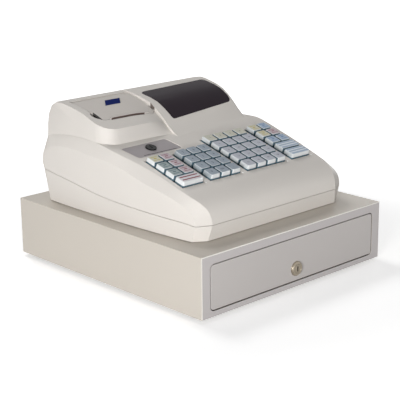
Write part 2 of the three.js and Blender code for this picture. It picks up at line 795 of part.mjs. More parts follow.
function keySolid(width) {
  const depth = keyPitch - keyGap;
  const ring = (inset, radius, z) => roundedRing(width - 2 * inset, depth - 2 * inset, radius, z);
  return loft([
    roundedRing(stemSize, stemSize, stemRadius, -keyDrop - stemLength),
    roundedRing(stemSize, stemSize, stemRadius, -keyDrop),
    ring(0, keyCornerRadius, -keyDrop),
    ring(keyTopInset / 2, keyCornerRadius, keyStand - keyRim),
    ring(keyTopInset, keyTopRadius, keyStand),
  ]);
}

// Key frame: a plate under the deck with a pocket for each block and a guide hole for each stem
const deckSkin = bodyWall * Math.cos(deckSlope);
const frameTop = -deckSkin - frameGap;
const frameFloor = -frameTopDepth;
const deepestBlock = Math.max(...blocks.map((block) => block.back));

// The plate's outside, its sides moved out by grow
function framePlateBox(grow) {
  return toDeck(deckBox(frameMargin - grow, blocks.at(-1).right + frameMargin * 2 + grow,
    -2 * frameMargin - grow, deepestBlock + 2 * frameMargin + grow,
    frameFloor - framePlate - grow, frameTop + grow));
}

function frameSolid() {
  let frame = framePlateBox(0);
  for (const [b, block] of blocks.entries()) {
    const reach = b === 0 ? overrun : wellMargin;
    frame = frame.subtract(toDeck(deckBox(block.left - reach, block.right + wellMargin,
      -wellMargin, block.back + wellMargin, frameFloor, frameTop + overrun)));
  }
  const hole = stemSize / 2 + fit;
  for (const { x, y } of keyPlaces) {
    frame = frame.subtract(toDeck(deckBox(x - hole, x + hole, y - hole, y + hole,
      frameFloor - framePlate - overrun, frameFloor + overrun)));
  }
  const switchRoom = switchRod(switchShankRadius + frameGap, -overrun, overrun, 24);
  return frame.subtract(solidFrom(switchRoom.applyMatrix4(switchFrame)));
}

// Printer cover's outline and places that the bay, the cover and the mechanism share
const coverLeft = -outAt(coverLeftShare);
const coverRight = -outAt(coverRightShare);
const coverFront = alongAt(coverFrontShare);
const hingeY = alongAt(hingeShare);
const hingeZ = profileHeight(printerTopShares, hingeY) - hingeRadius - fit;
const paperX = -outAt(paperOffCentreShare);
const rollY = alongAt(rollShare);
const rollZ = heightAt(rollHeightShare);
const platenY = alongAt(platenShare);
const platenZ = heightAt(platenHeightShare);
const wellHalf = paperWidth / 2 + wellSideGap;
const armOuter = paperWidth / 2 + platenArmGap + platenArmThickness;
const pocketHalf = armOuter + mechanismSideGap;
const pocketFloor = platenZ - mechanismDrop - fit;
const pocketFront = coverFront - slotWidth;
const pocketBack = rollY - rollRadius;

// A prism over a convex outline with rounded corners, its sides moved out by grow. Takes one radius or
// one for each corner
function outlinePrism(corners, radii, grow = 0) {
  const count = corners.length;
  const sides = corners.map(([x, y], k) => {
    const [nextX, nextY] = corners[(k + 1) % count];
    const length = Math.hypot(nextX - x, nextY - y);
    const along = [(nextX - x) / length, (nextY - y) / length];
    return { along, start: [x + along[1] * grow, y - along[0] * grow] };
  });
  const moved = sides.map((side, k) => {
    const before = sides[(k + count - 1) % count];
    const [dx, dy] = [side.start[0] - before.start[0], side.start[1] - before.start[1]];
    const cross = before.along[0] * side.along[1] - before.along[1] * side.along[0];
    const run = (dx * side.along[1] - dy * side.along[0]) / cross;
    return [before.start[0] + run * before.along[0], before.start[1] + run * before.along[1]];
  });
  const shape = new THREE.Shape();
  moved.forEach(([x, y], k) => {
    const round = (radii[k] ?? radii) + grow;
    const before = sides[(k + count - 1) % count].along;
    const after = sides[k].along;
    const entry = [x - before[0] * round, y - before[1] * round];
    if (k === 0) shape.moveTo(...entry);
    else shape.lineTo(...entry);
    for (let step = 1; step <= cornerSteps; step++) {
      const angle = step / cornerSteps * Math.PI / 2;
      const lead = round * (1 - Math.sin(angle));
      const trail = round * (1 - Math.cos(angle));
      shape.lineTo(x - before[0] * lead + after[0] * trail, y - before[1] * lead + after[1] * trail);
    }
  });
  return solidFrom(uprightPrism(shape, cabinetTop, heightAt(1) + overrun));
}

const rectangle = (x0, x1, y0, y1) => [[x0, y0], [x1, y0], [x1, y1], [x0, y1]];
const cornersFrom = (shares) => shares.map(([outShare, along]) => [outAt(outShare), alongAt(along)]);

// The paper well hangs under the bay, round at the bottom to cradle the roll
function wellSolid(wall) {
  const radius = rollRadius + 2 * fit + wall;
  const x0 = paperX - wellHalf - wall;
  const x1 = paperX + wellHalf + wall;
  const cradle = rodAlongX(radius, x0, x1, rollY, rollZ, 28);
  const shaft = box(x0, x1, rollY - radius, rollY + radius, rollZ, heightAt(1) + overrun);
  const pocket = box(paperX - pocketHalf - wall, paperX + pocketHalf + wall, pocketFront - wall,
    pocketBack + wall, pocketFloor - wall, heightAt(1) + overrun).intersect(towerSunk(ledgeDepth - coverGap));
  return cradle.add(shaft).add(pocket);
}

const hingeBack = hingeY + hingeRadius + coverGap;
const coverCorners = rectangle(coverLeft, coverRight, coverFront, hingeY);
const towerSunk = (depth) => printerBlock(0).translate([0, 0, -depth]);

// Everything that opens the tower's top: the cover's place, its finger notches and the paper slot
function bayOpening(wall) {
  const place = outlinePrism(coverCorners, coverCornerRadius, coverGap + wall);
  const [x0, x1] = [coverLeft - coverGap - wall, coverRight + coverGap + wall];
  const top = heightAt(1) + overrun;
  const trench = box(x0, x1, coverFront + coverCornerRadius + wall, hingeBack + wall, cabinetTop, top);
  return place.add(trench).add(fingerNotches(wall));
}

// Round hollows beside the cover's front corners, where a finger gets under its edge
function fingerNotches(wall) {
  const notchY = alongAt(notchShare);
  const top = heightAt(1) + overrun;
  const left = rodAlongZ(notchRadius + wall, cabinetTop, top,
    coverLeft - notchReach + notchRadius, notchY, 32);
  const right = rodAlongZ(notchSmallRadius + wall, cabinetTop, top,
    coverRight + notchSmallReach - notchSmallRadius, notchY, 32);
  const middle = box(coverLeft + notchUndercut + wall, coverRight - notchUndercut - wall,
    coverFront - overrun, hingeY, cabinetTop, top);
  return left.add(right).subtract(middle);
}

// Upper housing: deck, cheeks and tower in one moulding
function upperHousingSolid() {
  const outside = bodySolid(0).intersect(seamRegion(true)).add(printerBlock(0)).add(displayBlock(0));
  const hollow = bodySolid(bodyWall).add(printerBlock(bodyWall)).add(displayBlock(bodyWall));
  const bayTub = bayOpening(bodyWall).intersect(printerBlock(0)).subtract(towerSunk(ledgeDepth + bodyWall))
    .add(fingerNotches(bodyWall).intersect(printerBlock(0)).subtract(towerSunk(notchDepth + bodyWall)));
  const cavity = hollow.subtract(bayTub).subtract(wellSolid(bodyWall));
  const slot = box(paperX - slotLength / 2, paperX + slotLength / 2, pocketFront, coverFront + slotWidth,
    pocketFloor, heightAt(1));
  let housing = outside.subtract(cavity);
  housing = housing.subtract(bayOpening(0).subtract(towerSunk(ledgeDepth)));
  housing = housing.subtract(fingerNotches(0).subtract(towerSunk(notchDepth)));
  housing = housing.subtract(wellSolid(0)).subtract(slot).subtract(hingeTunnel());
  for (const block of blocks) {
    housing = housing.subtract(toDeck(deckBox(block.left - wellMargin, block.right + wellMargin,
      -wellMargin, block.back + wellMargin, -frameTopDepth, overrun)));
  }
  housing = housing.subtract(framePlateBox(fit));
  const sunkDeck = toDeck(deckBox(-overrun, nextLeft, 0, bodyDepth, -plateDepth, overrun));
  const plate = outlinePrism(cornersFrom(plateShares), plateCornerRadius).intersect(sunkDeck);
  housing = housing.subtract(plate.subtract(printerBlock(0))).subtract(switchHole());
  const lensSeat = displayBlock(0).translate([0, 0, -lensThickness - 2 * fit]);
  housing = housing.subtract(outlinePrism(cornersFrom(lensShares), lensCornerRadii, fit).subtract(lensSeat));
  return housing;
}

// Room for the cover's barrel, and blind holes for its pins
function hingeTunnel() {
  const trench = box(coverLeft - coverGap, coverRight + coverGap, hingeY - hingeRadius - coverGap, hingeBack,
    hingeZ, heightAt(1) + overrun);
  const barrelRoom = rodAlongX(hingeRadius + coverGap, coverLeft - coverGap, coverRight + coverGap,
    hingeY, hingeZ, 20);
  const pins = rodAlongX(hingePinRadius + fit, coverLeft - hingePinLength - coverGap,
    coverRight + hingePinLength + coverGap, hingeY, hingeZ, 16);
  return trench.add(barrelRoom).add(pins);
}

// The cover is a piece of the tower's own skin, with a hinge barrel and arms for the platen
function coverSolid() {
  const underside = towerSunk(coverSkin);
  const plan = outlinePrism(coverCorners, coverCornerRadius)
    .add(box(coverLeft, coverRight, coverFront + coverCornerRadius, hingeY,
      cabinetTop, heightAt(1) + overrun));
  let cover = printerBlock(0).subtract(underside).intersect(plan);
  cover = cover.add(rodAlongX(hingeRadius, coverLeft, coverRight, hingeY, hingeZ, 20));
  cover = cover.add(rodAlongX(hingePinRadius, coverLeft - hingePinLength, coverRight + hingePinLength,
    hingeY, hingeZ, 16));
  const lipX = paperX + lipShift;
  const lip = outlinePrism(
    rectangle(lipX - lipLength / 2, lipX + lipLength / 2, coverFront, coverFront + lipWidth),
    lipWidth / 4);
  cover = cover.add(lip.intersect(towerSunk(-lipHeight)).subtract(towerSunk(coverSkin / 2)));
  const armHalf = platenShaftRadius + fit + platenArmThickness / 2;
  for (const side of [-1, 1]) {
    const faces = [paperX + side * (armOuter - platenArmThickness), paperX + side * armOuter];
    const [x0, x1] = [Math.min(...faces), Math.max(...faces)];
    const arm = box(x0, x1, platenY - armHalf, platenY + armHalf, platenZ, heightAt(1))
      .intersect(towerSunk(coverSkin / 2));
    cover = cover.add(arm).add(rodAlongX(armHalf, x0, x1, platenY, platenZ, 20));
  }
  return cover.subtract(rodAlongX(platenShaftRadius + fit, paperX - armOuter - overrun / 4,
    paperX + armOuter + overrun / 4, platenY, platenZ, 16));
}

function platenSolid() {
  const roller = rodAlongX(platenRadius, paperX - paperWidth / 2, paperX + paperWidth / 2,
    platenY, platenZ, 24);
  return roller.add(rodAlongX(platenShaftRadius, paperX - armOuter, paperX + armOuter, platenY, platenZ, 16));
}

function rollSolid() {
  const [x0, x1] = [paperX - paperWidth / 2, paperX + paperWidth / 2];
  const roll = rodAlongX(rollRadius, x0, x1, rollY, rollZ, 36);
  return roll.subtract(rodAlongX(rollCoreRadius, x0 - overrun, x1 + overrun, rollY, rollZ, 20));
}

// Printing mechanism: a frame whose slanted head faces the platen
function mechanismSolid() {
  const reach = platenRadius + headGap;
  const touch = [platenY - reach * Math.sin(headAngle), platenZ - reach * Math.cos(headAngle)];
  const onHead = (run) => [touch[0] + run * Math.cos(headAngle), touch[1] - run * Math.sin(headAngle)];
  const top = onHead(-headRise);
  const foot = onHead(headFall);
  const front = pocketFront + headGap;
  const back = pocketBack - 4 * headGap;
  const bottom = platenZ - mechanismDrop;
  const points = [[front, bottom], [back, bottom], [back, foot[1] - platenShaftRadius], foot, top,
    [front, top[1]]];
  return alongX(points, paperX - paperWidth / 2, paperX + paperWidth / 2);
}

// Display window, bent to the barrel face
function lensSolid() {
  return outlinePrism(cornersFrom(lensShares), lensCornerRadii)
    .intersect(displayBlock(0).subtract(displayBlock(0).translate([0, 0, -lensThickness])));
}

// Mode switch, standing in the sunk plate behind the keys
const switchX = -outAt(switchOffCentreShare);
const switchY = alongAt(switchShare);
const switchZ = keyboardHeight + (switchY - keyboardFront) * Math.tan(deckSlope) - plateDepth;
const switchFrame = new THREE.Matrix4().makeRotationX(deckSlope).setPosition(switchX, switchY, switchZ);

function switchRod(radius, z0, z1, sides) {
  const geometry = rod(radius, z1 - z0, sides);
  geometry.rotateX(Math.PI / 2);
  geometry.translate(0, 0, (z0 + z1) / 2);
  return geometry;
}

function switchHole() {
  return solidFrom(switchRod(switchShankRadius + fit, -overrun, overrun / 2, 24).applyMatrix4(switchFrame));
}

function switchSolid() {
  const head = solidFrom(switchRod(switchRadius, fit, switchStand, 28));
  const shank = solidFrom(switchRod(switchShankRadius, -switchShankLength, fit * 2, 24));
  const slot = solidFrom(deckBox(-keySlotWidth / 2, keySlotWidth / 2, -keySlotHeight / 2, keySlotHeight / 2,
    switchStand - keySlotDepth, switchStand + overrun));
  return head.add(shank).subtract(slot);
}

// Lower housing: the part of the body under the seam, on a set-back plinth, with the power inlet behind
function lowerHousingSolid() {
  const outside = bodySolid(0).intersect(seamRegion(false));
  const hollow = bodySolid(bodyWall);
  const frontX = outAt(baseFrontWidthShare) - plinthInset;
  const backX = outAt(baseBackWidthShare) - plinthInset;
  const frontY = alongAt(baseFrontShare) + plinthInset;
  const backY = bodyFront + bodyDepth - plinthInset;
  const shape = new THREE.Shape([
    new THREE.Vector2(-frontX, frontY),
    new THREE.Vector2(frontX, frontY),
    new THREE.Vector2(backX, backY),
    new THREE.Vector2(-backX, backY),
  ]);
  const plinth = solidFrom(uprightPrism(shape, cabinetTop, cabinetTop + plinthHeight + bodyWall / 2));
  const back = bodyFront + bodyDepth;
  const inletZ = cabinetTop + inletHeight;
  const boss = rodAlongY(inletBossRadius, back - inletDepth - bodyWall, back, inletOffCentre, inletZ, 20);
  const bore = rodAlongY(inletRadius, back - inletDepth, back + overrun, inletOffCentre, inletZ, 16);
  const pin = rodAlongY(inletPinRadius, back - inletDepth - bodyWall / 2, back - bodyWall,
    inletOffCentre, inletZ, 8);
  return outside.subtract(hollow).add(plinth).add(boss).subtract(bore.subtract(pin));
}

// The whole machine

const register = new THREE.Group();
register.position.y = lockBezelStand / 2;
register.add(meshOf('drawer_cabinet', cabinetSolid(), 'steel'));
register.add(meshOf('cash_drawer', drawerSolid(), 'panel'));
register.add(meshOf('drawer_lock_plug', lockPlugSolid(), 'nickel'));
register.add(meshOf('till_insert', tillSolid(), 'till'));
register.add(meshOf('lower_housing', lowerHousingSolid(), 'lower'));
register.add(meshOf('upper_housing', upperHousingSolid(), 'upper'));
register.add(meshOf('key_frame', frameSolid(), 'black'));
register.add(meshOf('printer_cover', coverSolid(), 'cover'));
register.add(meshOf('platen_roller', platenSolid(), 'rubber'));
register.add(meshOf('printing_mechanism', mechanismSolid(), 'mechanism'));
register.add(meshOf('paper_roll', rollSolid(), 'paper'));
register.add(meshOf('display_window', lensSolid(), 'lens'));

const modeSwitch = meshOf('mode_switch', switchSolid(), 'black');
modeSwitch.applyMatrix4(switchFrame);
register.add(modeSwitch);

const keyboard = new THREE.Group();
keyboard.applyMatrix4(deckFrame);
const blockNames = ['tax', 'digit', 'item', 'total'];
const blockFinishes = ['redKey', 'digitKey', 'itemKey', 'blueKey'];
for (const { block, row, column, x, y, width } of keyPlaces) {
  const key = new THREE.Mesh(keySolid(width), new THREE.MeshStandardMaterial(finishes[blockFinishes[block]]));
  key.geometry.computeVertexNormals();
  key.name = `${blockNames[block]}_key_${row + 1}_${column + 1}`;
  key.position.set(x, y, 0);
  keyboard.add(key);
}
register.add(keyboard);

export default register;
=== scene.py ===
# Finishes, printed keys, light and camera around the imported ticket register.
# Lengths are in metres, +Z is up, -Y is the front and +X is the right as the operator sees it.

import json
import math

import bmesh
import bpy
from mathutils import Matrix, Vector
from mathutils.bvhtree import BVHTree


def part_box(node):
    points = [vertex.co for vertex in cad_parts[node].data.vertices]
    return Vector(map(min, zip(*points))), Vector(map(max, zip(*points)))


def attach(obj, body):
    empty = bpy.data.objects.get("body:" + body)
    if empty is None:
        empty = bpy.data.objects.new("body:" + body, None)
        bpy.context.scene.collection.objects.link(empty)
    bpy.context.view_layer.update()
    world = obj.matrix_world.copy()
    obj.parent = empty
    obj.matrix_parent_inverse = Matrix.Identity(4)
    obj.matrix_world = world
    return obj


MM = 0.001
UP = (0, 0, 1)
FRONT = (0, -1, 0)

# Camera: where the photograph was taken from, measured on the machine's own edges
CAMERA_PLACE = Vector((-1.12555, -1.20232, 0.56811))
CAMERA_AZIMUTH = math.radians(-43.185)
CAMERA_ELEVATION = math.radians(16.268)
CAMERA_ROLL = math.radians(-0.641)
CAMERA_LENS = 107.04
CAMERA_SENSOR = 36
CAMERA_CLIP = (0.05, 100)

# How much of a face's normal points forward, or out of a key's side, for the face to count as such a one,
# and how little of it points up on an upright wall
FRONT_FACING = 0.7
SIDE_FACING = 0.5
UPRIGHT_FACING = 0.6

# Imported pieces: near points are joined, and edges that turn by more than the crease stay crisp
JOIN_DISTANCE = 0.002 * MM
CREASE = math.radians(19)

# Cabinet: the sheet's lower edge, just above the feet's tops, and the width of the painted highlight along
# its front's folds
RUBBER_BELOW = 4.9 * MM
FOLD_WIDTH = 1.5 * MM

# Drawer: the width of the painted shade on its panel's rim and its depth behind the cabinet's front, the
# clearance that tells what stands out of that front, and the lock, with its keyway as (half width, half
# height)
RIM_SHADE = 0.7 * MM
PANEL_DEPTH = 1 * MM
FRONT_CLEARANCE = 0.01 * MM
LOCK_HEIGHT = 30.8 * MM
LOCK_BEZEL_RADIUS = 10.3 * MM
KEYWAY = (0.95 * MM, 3.6 * MM)

# Finger hollows beside the printer cover's front corners, as (x, radius), with painted shade inside them
# that at the left one also reaches past the cover's left edge, and the paper slot
COVER_LEFT_EDGE = -0.1308
HOLLOWS = {"left": (-0.1236, 12.6 * MM), "right": (-0.0397, 9.1 * MM)}
HOLLOW_Y = 60.5 * MM
HOLLOW_FLOOR = 215 * MM
# The cover's front edge gets painted shade where it lines the paper slot
SLOT_X = (-0.1178, -0.0568)
SLOT_FRONT = 48.9 * MM

# Keys: how far they stand out of the deck and look for a neighbour, and their clear caps, with painted
# shade on their sides
KEY_STAND = 7 * MM
KEY_REACH = 4 * MM
KEY_TOP_INSET = 1.1 * MM
# Painted shade on the caps' sides: below the pale height, and up to a thin top edge where a key stands
# beside them; the left sides' paleness, per block, is the share of them kept out of it
CAP_EDGE = 0.45 * MM
CAP_PALE_HEIGHT = 5.6 * MM
LEFT_SIDE_PALENESS = {"tax": 1, "digit": 0.42, "item": 0.8, "total": 0.7}

# Key inserts and numbers
INSERT_MARGIN = 0.15 * MM
INSERT_CORNER = 1.4 * MM
INSERT_RISE = 0.12 * MM
CORNER_STEPS = 4
NUMBER_HEIGHTS = {"digit": 5.6 * MM, "item": 4.2 * MM}
NUMBER_RISE = 0.04 * MM
CURVE_STEPS = 2

# What the keys carry in each block, row by row from the front and from the left
KEY_NUMBERS = {
    "digit": [["0", "00", "."], ["1", "2", "3"], ["4", "5", "6"], ["7", "8", "9"]],
    "item": [[str(first + column) for column in range(4)] for first in (17, 13, 9, 5, 1)],
}
KEY_INSERTS = {
    "tax": [["red_bars"], ["green", "pink"], ["green", "pink"], ["yellow", "pink"]],
    "digit": [["slate"] * 3] * 4,
    "item": [["lilac"] * 4] * 4 + [["pale_yellow"] * 4],
    "total": [["blue_bands"], ["blue_bands"], ["blue", "blue"], ["yellow", "pink"], ["yellow", "blue"]],
}

# Strokes printed on an insert, as (middle, half height, half length) from the insert's middle
WORD_STROKES = [
    (4.2 * MM, 0.55 * MM, 5.6 * MM),
    (0.4 * MM, 1 * MM, 2.6 * MM),
    (-3.9 * MM, 0.5 * MM, 5.6 * MM),
]
LONG_BARS = [(3.4 * MM, 1.15 * MM, 15.5 * MM), (-3.2 * MM, 1.15 * MM, 15.5 * MM)]
LONG_BANDS = [(2.7 * MM, 1.1 * MM, 17 * MM), (-2.7 * MM, 1.1 * MM, 17 * MM)]

# Small white domes on the deck at the front right corner of each block of keys
DOME_RADIUS = 1.2 * MM
DOME_FLATNESS = 0.5
DOME_OFFSET = 1.9 * MM

# Switch plate: corners seen from above, from the front left one round, and its dark line
PLATE_CORNERS = [(-0.1289, -0.0235), (-0.0478, -0.0215), (-0.0537, 0.0096), (-0.1364, 0.0081)]
PLATE_INSET = 1.26 * MM
PLATE_CORNER_RADIUS = 3 * MM
PLATE_BOTTOM = -1.18 * MM
PLATE_TOP = -0.8 * MM
PLATE_LINE_X = (-0.1165, -0.0570)
PLATE_LINE_Y = -0.0186
PLATE_LINE_HALF_WIDTH = 0.6 * MM
SWITCH_CENTRE = (-0.09248, -0.00454)
SWITCH_HOLE_RADIUS = 8.4 * MM

# Plain blue plate on the printer cover. Its rear edge lies further right than its front edge, by the lean.
# It reaches from a little under the cover's surface, which rays from above find, to a little over it.
BADGE_CENTRE = (-0.0793, 0.0913)
BADGE_SIZE = (27 * MM, 16.5 * MM)
BADGE_LEAN = 12 * MM
BADGE_LAYERS = (-0.2 * MM, 0.5 * MM)
BADGE_COLUMNS = 8
BADGE_ROWS = 5
RAY_HEIGHT = 1

# Light: the surroundings' level, the floor with its glow near the machine, lower there as a painted shade,
# and further out, as the camera sees it, and soft lamps as (name, place, size, power)
WORLD_LEVEL = 0.21
FLOOR_HALF = 12
FLOOR_LEVEL = -0.1 * MM
FLOOR_GLOW = (0.45, 0.84)
FLOOR_GLOW_REACH = (0.32, 0.68)
LAMP_AIM = Vector((0, 0, 0.12))
LAMPS = [
    ("left_softbox", (-1.95, -1.2, 0.42), 0.6, 34.5),
    ("front_softbox", (-0.7, -2.7, 0.34), 0.66, 9),
    ("overhead_softbox", (0.1, 1.45, 2.25), 0.9, 20),
    ("rear_softbox", (2.2, 0.9, 0.3), 1.0, 13),
]


def tone(red, green, blue):
    """A colour given as 0 to 255 screen values, as the shaders want it."""
    def linear(value):
        share = value / 255
        return share / 12.92 if share <= 0.04045 else ((share + 0.055) / 1.055) ** 2.4
    return (linear(red), linear(green), linear(blue), 1)


# Colours
MOULDED = tone(225, 220, 214)
COVER_GREY = tone(214, 208, 202)
STEEL_PAINT = tone(207, 200, 190)
FRAME_PAINT = tone(196, 191, 190)
# Painted highlight along the cabinet front's folds
FOLD_HIGHLIGHT = tone(246, 243, 236)
# Painted shade along the drawer panel's lower and right rim
PANEL_SHADE = tone(84, 76, 72)
PANEL_PAINT = tone(198, 193, 190)
RUBBER = tone(34, 33, 32)
BLACK_PLASTIC = tone(17, 16, 18)
FRAME_BLACK = tone(38, 52, 62)
SMOKED = tone(52, 44, 51)
NICKEL = tone(158, 148, 132)
TILL_GREY = tone(58, 59, 62)
PAPER = tone(240, 238, 232)
PAPER_EDGE = tone(222, 220, 213)
MACHINED = tone(118, 120, 124)
# Painted shade in the lock's keyway
KEYWAY_SHADE = tone(30, 25, 23)
# Painted shade in the finger hollows, deep at the left one and soft at the right one
HOLLOW_SHADES = {"left": tone(30, 25, 23), "right": tone(118, 108, 102)}
# Painted shade on the cover's front edge along the paper slot
SLOT_SHADE = tone(92, 76, 72)
PLATE_GREY = tone(168, 162, 164)
# Dark line painted across the switch plate
PLATE_LINE_DARK = tone(52, 46, 46)
BADGE_BLUE = tone(18, 34, 98)
DOME_WHITE = tone(246, 246, 244)
KEY_CLEAR = tone(228, 231, 232)
# Painted shade on the key caps' sides
KEY_SHADE = tone(88, 112, 124)
INK = tone(44, 42, 60)
RED_INK = tone(118, 16, 46)
YELLOW_INK = tone(188, 168, 52)
GREEN_INK = tone(52, 84, 92)
BLUE_INK = tone(62, 108, 164)
WHITE_INK = tone(226, 232, 238)
BLUE_GROUND = tone(164, 182, 202)
FLOOR_PAINT = tone(240, 240, 240)
WHITE = (1, 1, 1, 1)
BLACK = (0, 0, 0, 1)

# Inserts of the keys, as (ground, ink, strokes)
INSERTS = {
    "yellow": (tone(204, 202, 184), YELLOW_INK, WORD_STROKES),
    "pink": (tone(190, 178, 184), RED_INK, WORD_STROKES),
    "green": (tone(150, 164, 166), GREEN_INK, WORD_STROKES),
    "slate": (tone(144, 156, 168), None, ()),
    "lilac": (tone(182, 186, 196), None, ()),
    "pale_yellow": (tone(198, 197, 182), None, ()),
    "blue": (BLUE_GROUND, BLUE_INK, WORD_STROKES),
    "red_bars": (tone(220, 219, 222), RED_INK, LONG_BARS),
    "blue_bands": (BLUE_GROUND, WHITE_INK, LONG_BANDS),
}


class Signal:
    """A value on its way through a tree of nodes. Arithmetic on it adds Math nodes."""

    def __init__(self, wiring, socket):
        self.wiring = wiring
        self.socket = socket

    def maths(self, operation, *values):
        return self.wiring.node("ShaderNodeMath", {"operation": operation}, dict(enumerate(values)))

    def __add__(self, other):
        return self.maths("ADD", self, other)

    def __radd__(self, other):
        return self.maths("ADD", other, self)

    def __sub__(self, other):
        return self.maths("SUBTRACT", self, other)

    def __rsub__(self, other):
        return self.maths("SUBTRACT", other, self)

    def __mul__(self, other):
        return self.maths("MULTIPLY", self, other)

    def __rmul__(self, other):
        return self.maths("MULTIPLY", other, self)

    def __abs__(self):
        return self.maths("ABSOLUTE", self)

    def __lt__(self, other):
        return self.maths("LESS_THAN", self, other)

    def __gt__(self, other):
        return self.maths("GREATER_THAN", self, other)

    def __or__(self, other):
        """Where either of two masks is 1. Where both are 1 is their product."""
        return self.maths("MAXIMUM", self, other)


class Wiring:
    """A tree of nodes, which every node is added to in the same way."""

    def __init__(self, tree):
        self.tree = tree

    def feed(self, socket, value):
        if isinstance(value, Signal):
            self.tree.links.new(value.socket, socket)
        else:
            socket.default_value = value

    def node(self, kind, settings=None, inputs=None, output=0):
        made = self.tree.nodes.new(kind)
        for name, value in (settings or {}).items():
            setattr(made, name, value)
        for name, value in (inputs or {}).items():
            self.feed(made.inputs[name], value)
        return Signal(self, made.outputs[output]) if made.outputs else None


class Finish(Wiring):
    """A material of the machine and the nodes that make it."""

    def __init__(self, name):
        self.material = bpy.data.materials.new(name)
        self.material.use_nodes = True
        super().__init__(self.material.node_tree)
        self.shader = self.tree.nodes["Principled BSDF"]
        self.given = {}

    def set(self, **values):
        """Sets the shader's own sockets, such as Base_Color, and keeps what each was given."""
        self.given.update(values)
        for name, value in values.items():
            self.feed(self.shader.inputs[name.replace("_", " ")], value)
        return self

    def paint_over(self, mask, colour):
        """Covers the colour so far with another one where the mask is 1."""
        return self.set(Base_Color=self.mix(mask, self.given["Base_Color"], colour))

    def place(self):
        """A point's place in its piece's own space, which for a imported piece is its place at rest."""
        return self.node("ShaderNodeTexCoord", output="Object")

    def facing(self, direction):
        """How far the surface faces this way, from -1 to 1."""
        normal = self.node("ShaderNodeTexCoord", output="Normal")
        return self.along(normal, direction)

    def along(self, vector, direction):
        """The vector's length along a direction of length 1."""
        return self.node("ShaderNodeVectorMath", {"operation": "DOT_PRODUCT"},
                         {0: vector, 1: direction}, output="Value")

    def axes(self):
        """The place's three coordinates, one by one."""
        return [self.along(self.place(), unit) for unit in ((1, 0, 0), (0, 1, 0), (0, 0, 1))]

    def noise(self, scale, detail, stretch=(1, 1, 1)):
        """Soft random grain, finer with a higher scale. A low stretch draws it out along that axis."""
        grain = self.node("ShaderNodeMapping", inputs={"Vector": self.place(), "Scale": stretch})
        return self.node("ShaderNodeTexNoise", inputs={"Vector": grain, "Scale": scale, "Detail": detail})

    def mix(self, mask, first, second):
        """The first colour, or the second where the mask is 1. A Mix node's colours are sockets 6 and 7."""
        return self.node("ShaderNodeMix", {"data_type": "RGBA"}, {0: mask, 6: first, 7: second}, output=2)

    def varied(self, colour, scale, amount):
        """The colour with slow, slight changes of depth over the surface."""
        darker = tuple(channel * (1 - amount) for channel in colour[:3]) + (1,)
        return self.mix(self.noise(scale, detail=3), darker, colour)

    def rounded(self, radius):
        """The surface's normal with its edges softened."""
        return self.node("ShaderNodeBevel", {"samples": 6}, {"Radius": radius})

    def bump(self, height, depth, normal=None):
        """A normal with fine relief, where a height of 1 stands this deep."""
        inputs = {"Height": height, "Distance": depth}
        if normal is not None:
            inputs["Normal"] = normal
        return self.node("ShaderNodeBump", inputs=inputs)


def in_circle(across, along, centre, radius):
    """Mask of a round area, from its two coordinates on the surface."""
    first, second = across - centre[0], along - centre[1]
    return first * first + second * second < radius ** 2


def in_oblong(across, along, centre, half_size):
    """Mask of an oblong area, from its two coordinates on the surface."""
    return (abs(across - centre[0]) < half_size[0]) * (abs(along - centre[1]) < half_size[1])


def moulded_plastic(name, colour, grain=0.012 * MM, edge=0.9 * MM, mottle=(14, 0.035)):
    """Fine spark-eroded texture of an office machine's moulded housing. The mottle is the scale and the
    amount of its changes of colour."""
    finish = Finish(name)
    texture = finish.noise(scale=2600, detail=2)
    waviness = finish.noise(scale=9, detail=1)
    return finish.set(
        Base_Color=finish.varied(colour, *mottle),
        Roughness=0.52 + 0.12 * texture,
        Specular_IOR_Level=0.25,
        Normal=finish.bump(texture + 0.5 * waviness, depth=grain, normal=finish.rounded(edge)),
    )


def tower_shell(name, colour):
    """Moulded plastic with painted shade in the finger hollows, which at the left one also covers the rim
    left of the cover's edge.
    """
    finish = moulded_plastic(name, colour)
    x, y, z = finish.axes()
    # Painted shade goes on each hollow's walls and floor, and at the left one also on the rim left of the
    # cover's edge
    inside = (abs(finish.facing(UP)) < UPRIGHT_FACING) | (z < HOLLOW_FLOOR)
    for side, (middle, radius) in HOLLOWS.items():
        dark = inside | (x < COVER_LEFT_EDGE) if side == "left" else inside
        finish.paint_over(in_circle(x, y, (middle, HOLLOW_Y), radius) * dark, HOLLOW_SHADES[side])
    return finish


def cover_finish():
    """The printer cover: as the tower, but greyer, and with painted shade where its front edge lines the
    paper slot.
    """
    finish = tower_shell("printer_cover_grey", COVER_GREY)
    x, y, _ = finish.axes()
    # Painted shade on the front-facing lining of the paper slot
    in_slot = (x > SLOT_X[0]) * (x < SLOT_X[1]) * (y < SLOT_FRONT)
    return finish.paint_over(in_slot * (finish.facing(FRONT) > FRONT_FACING), SLOT_SHADE)


def painted_steel(name, colour):
    """Powder coat: a fine orange peel over flat sheet steel."""
    finish = Finish(name)
    peel = finish.noise(scale=900, detail=2)
    return finish.set(
        Base_Color=finish.varied(colour, scale=5, amount=0.045),
        Specular_IOR_Level=0.3,
        Roughness=0.42 + 0.14 * finish.noise(scale=40, detail=3),
        Normal=finish.bump(peel, depth=0.02 * MM, normal=finish.rounded(0.8 * MM)),
    )


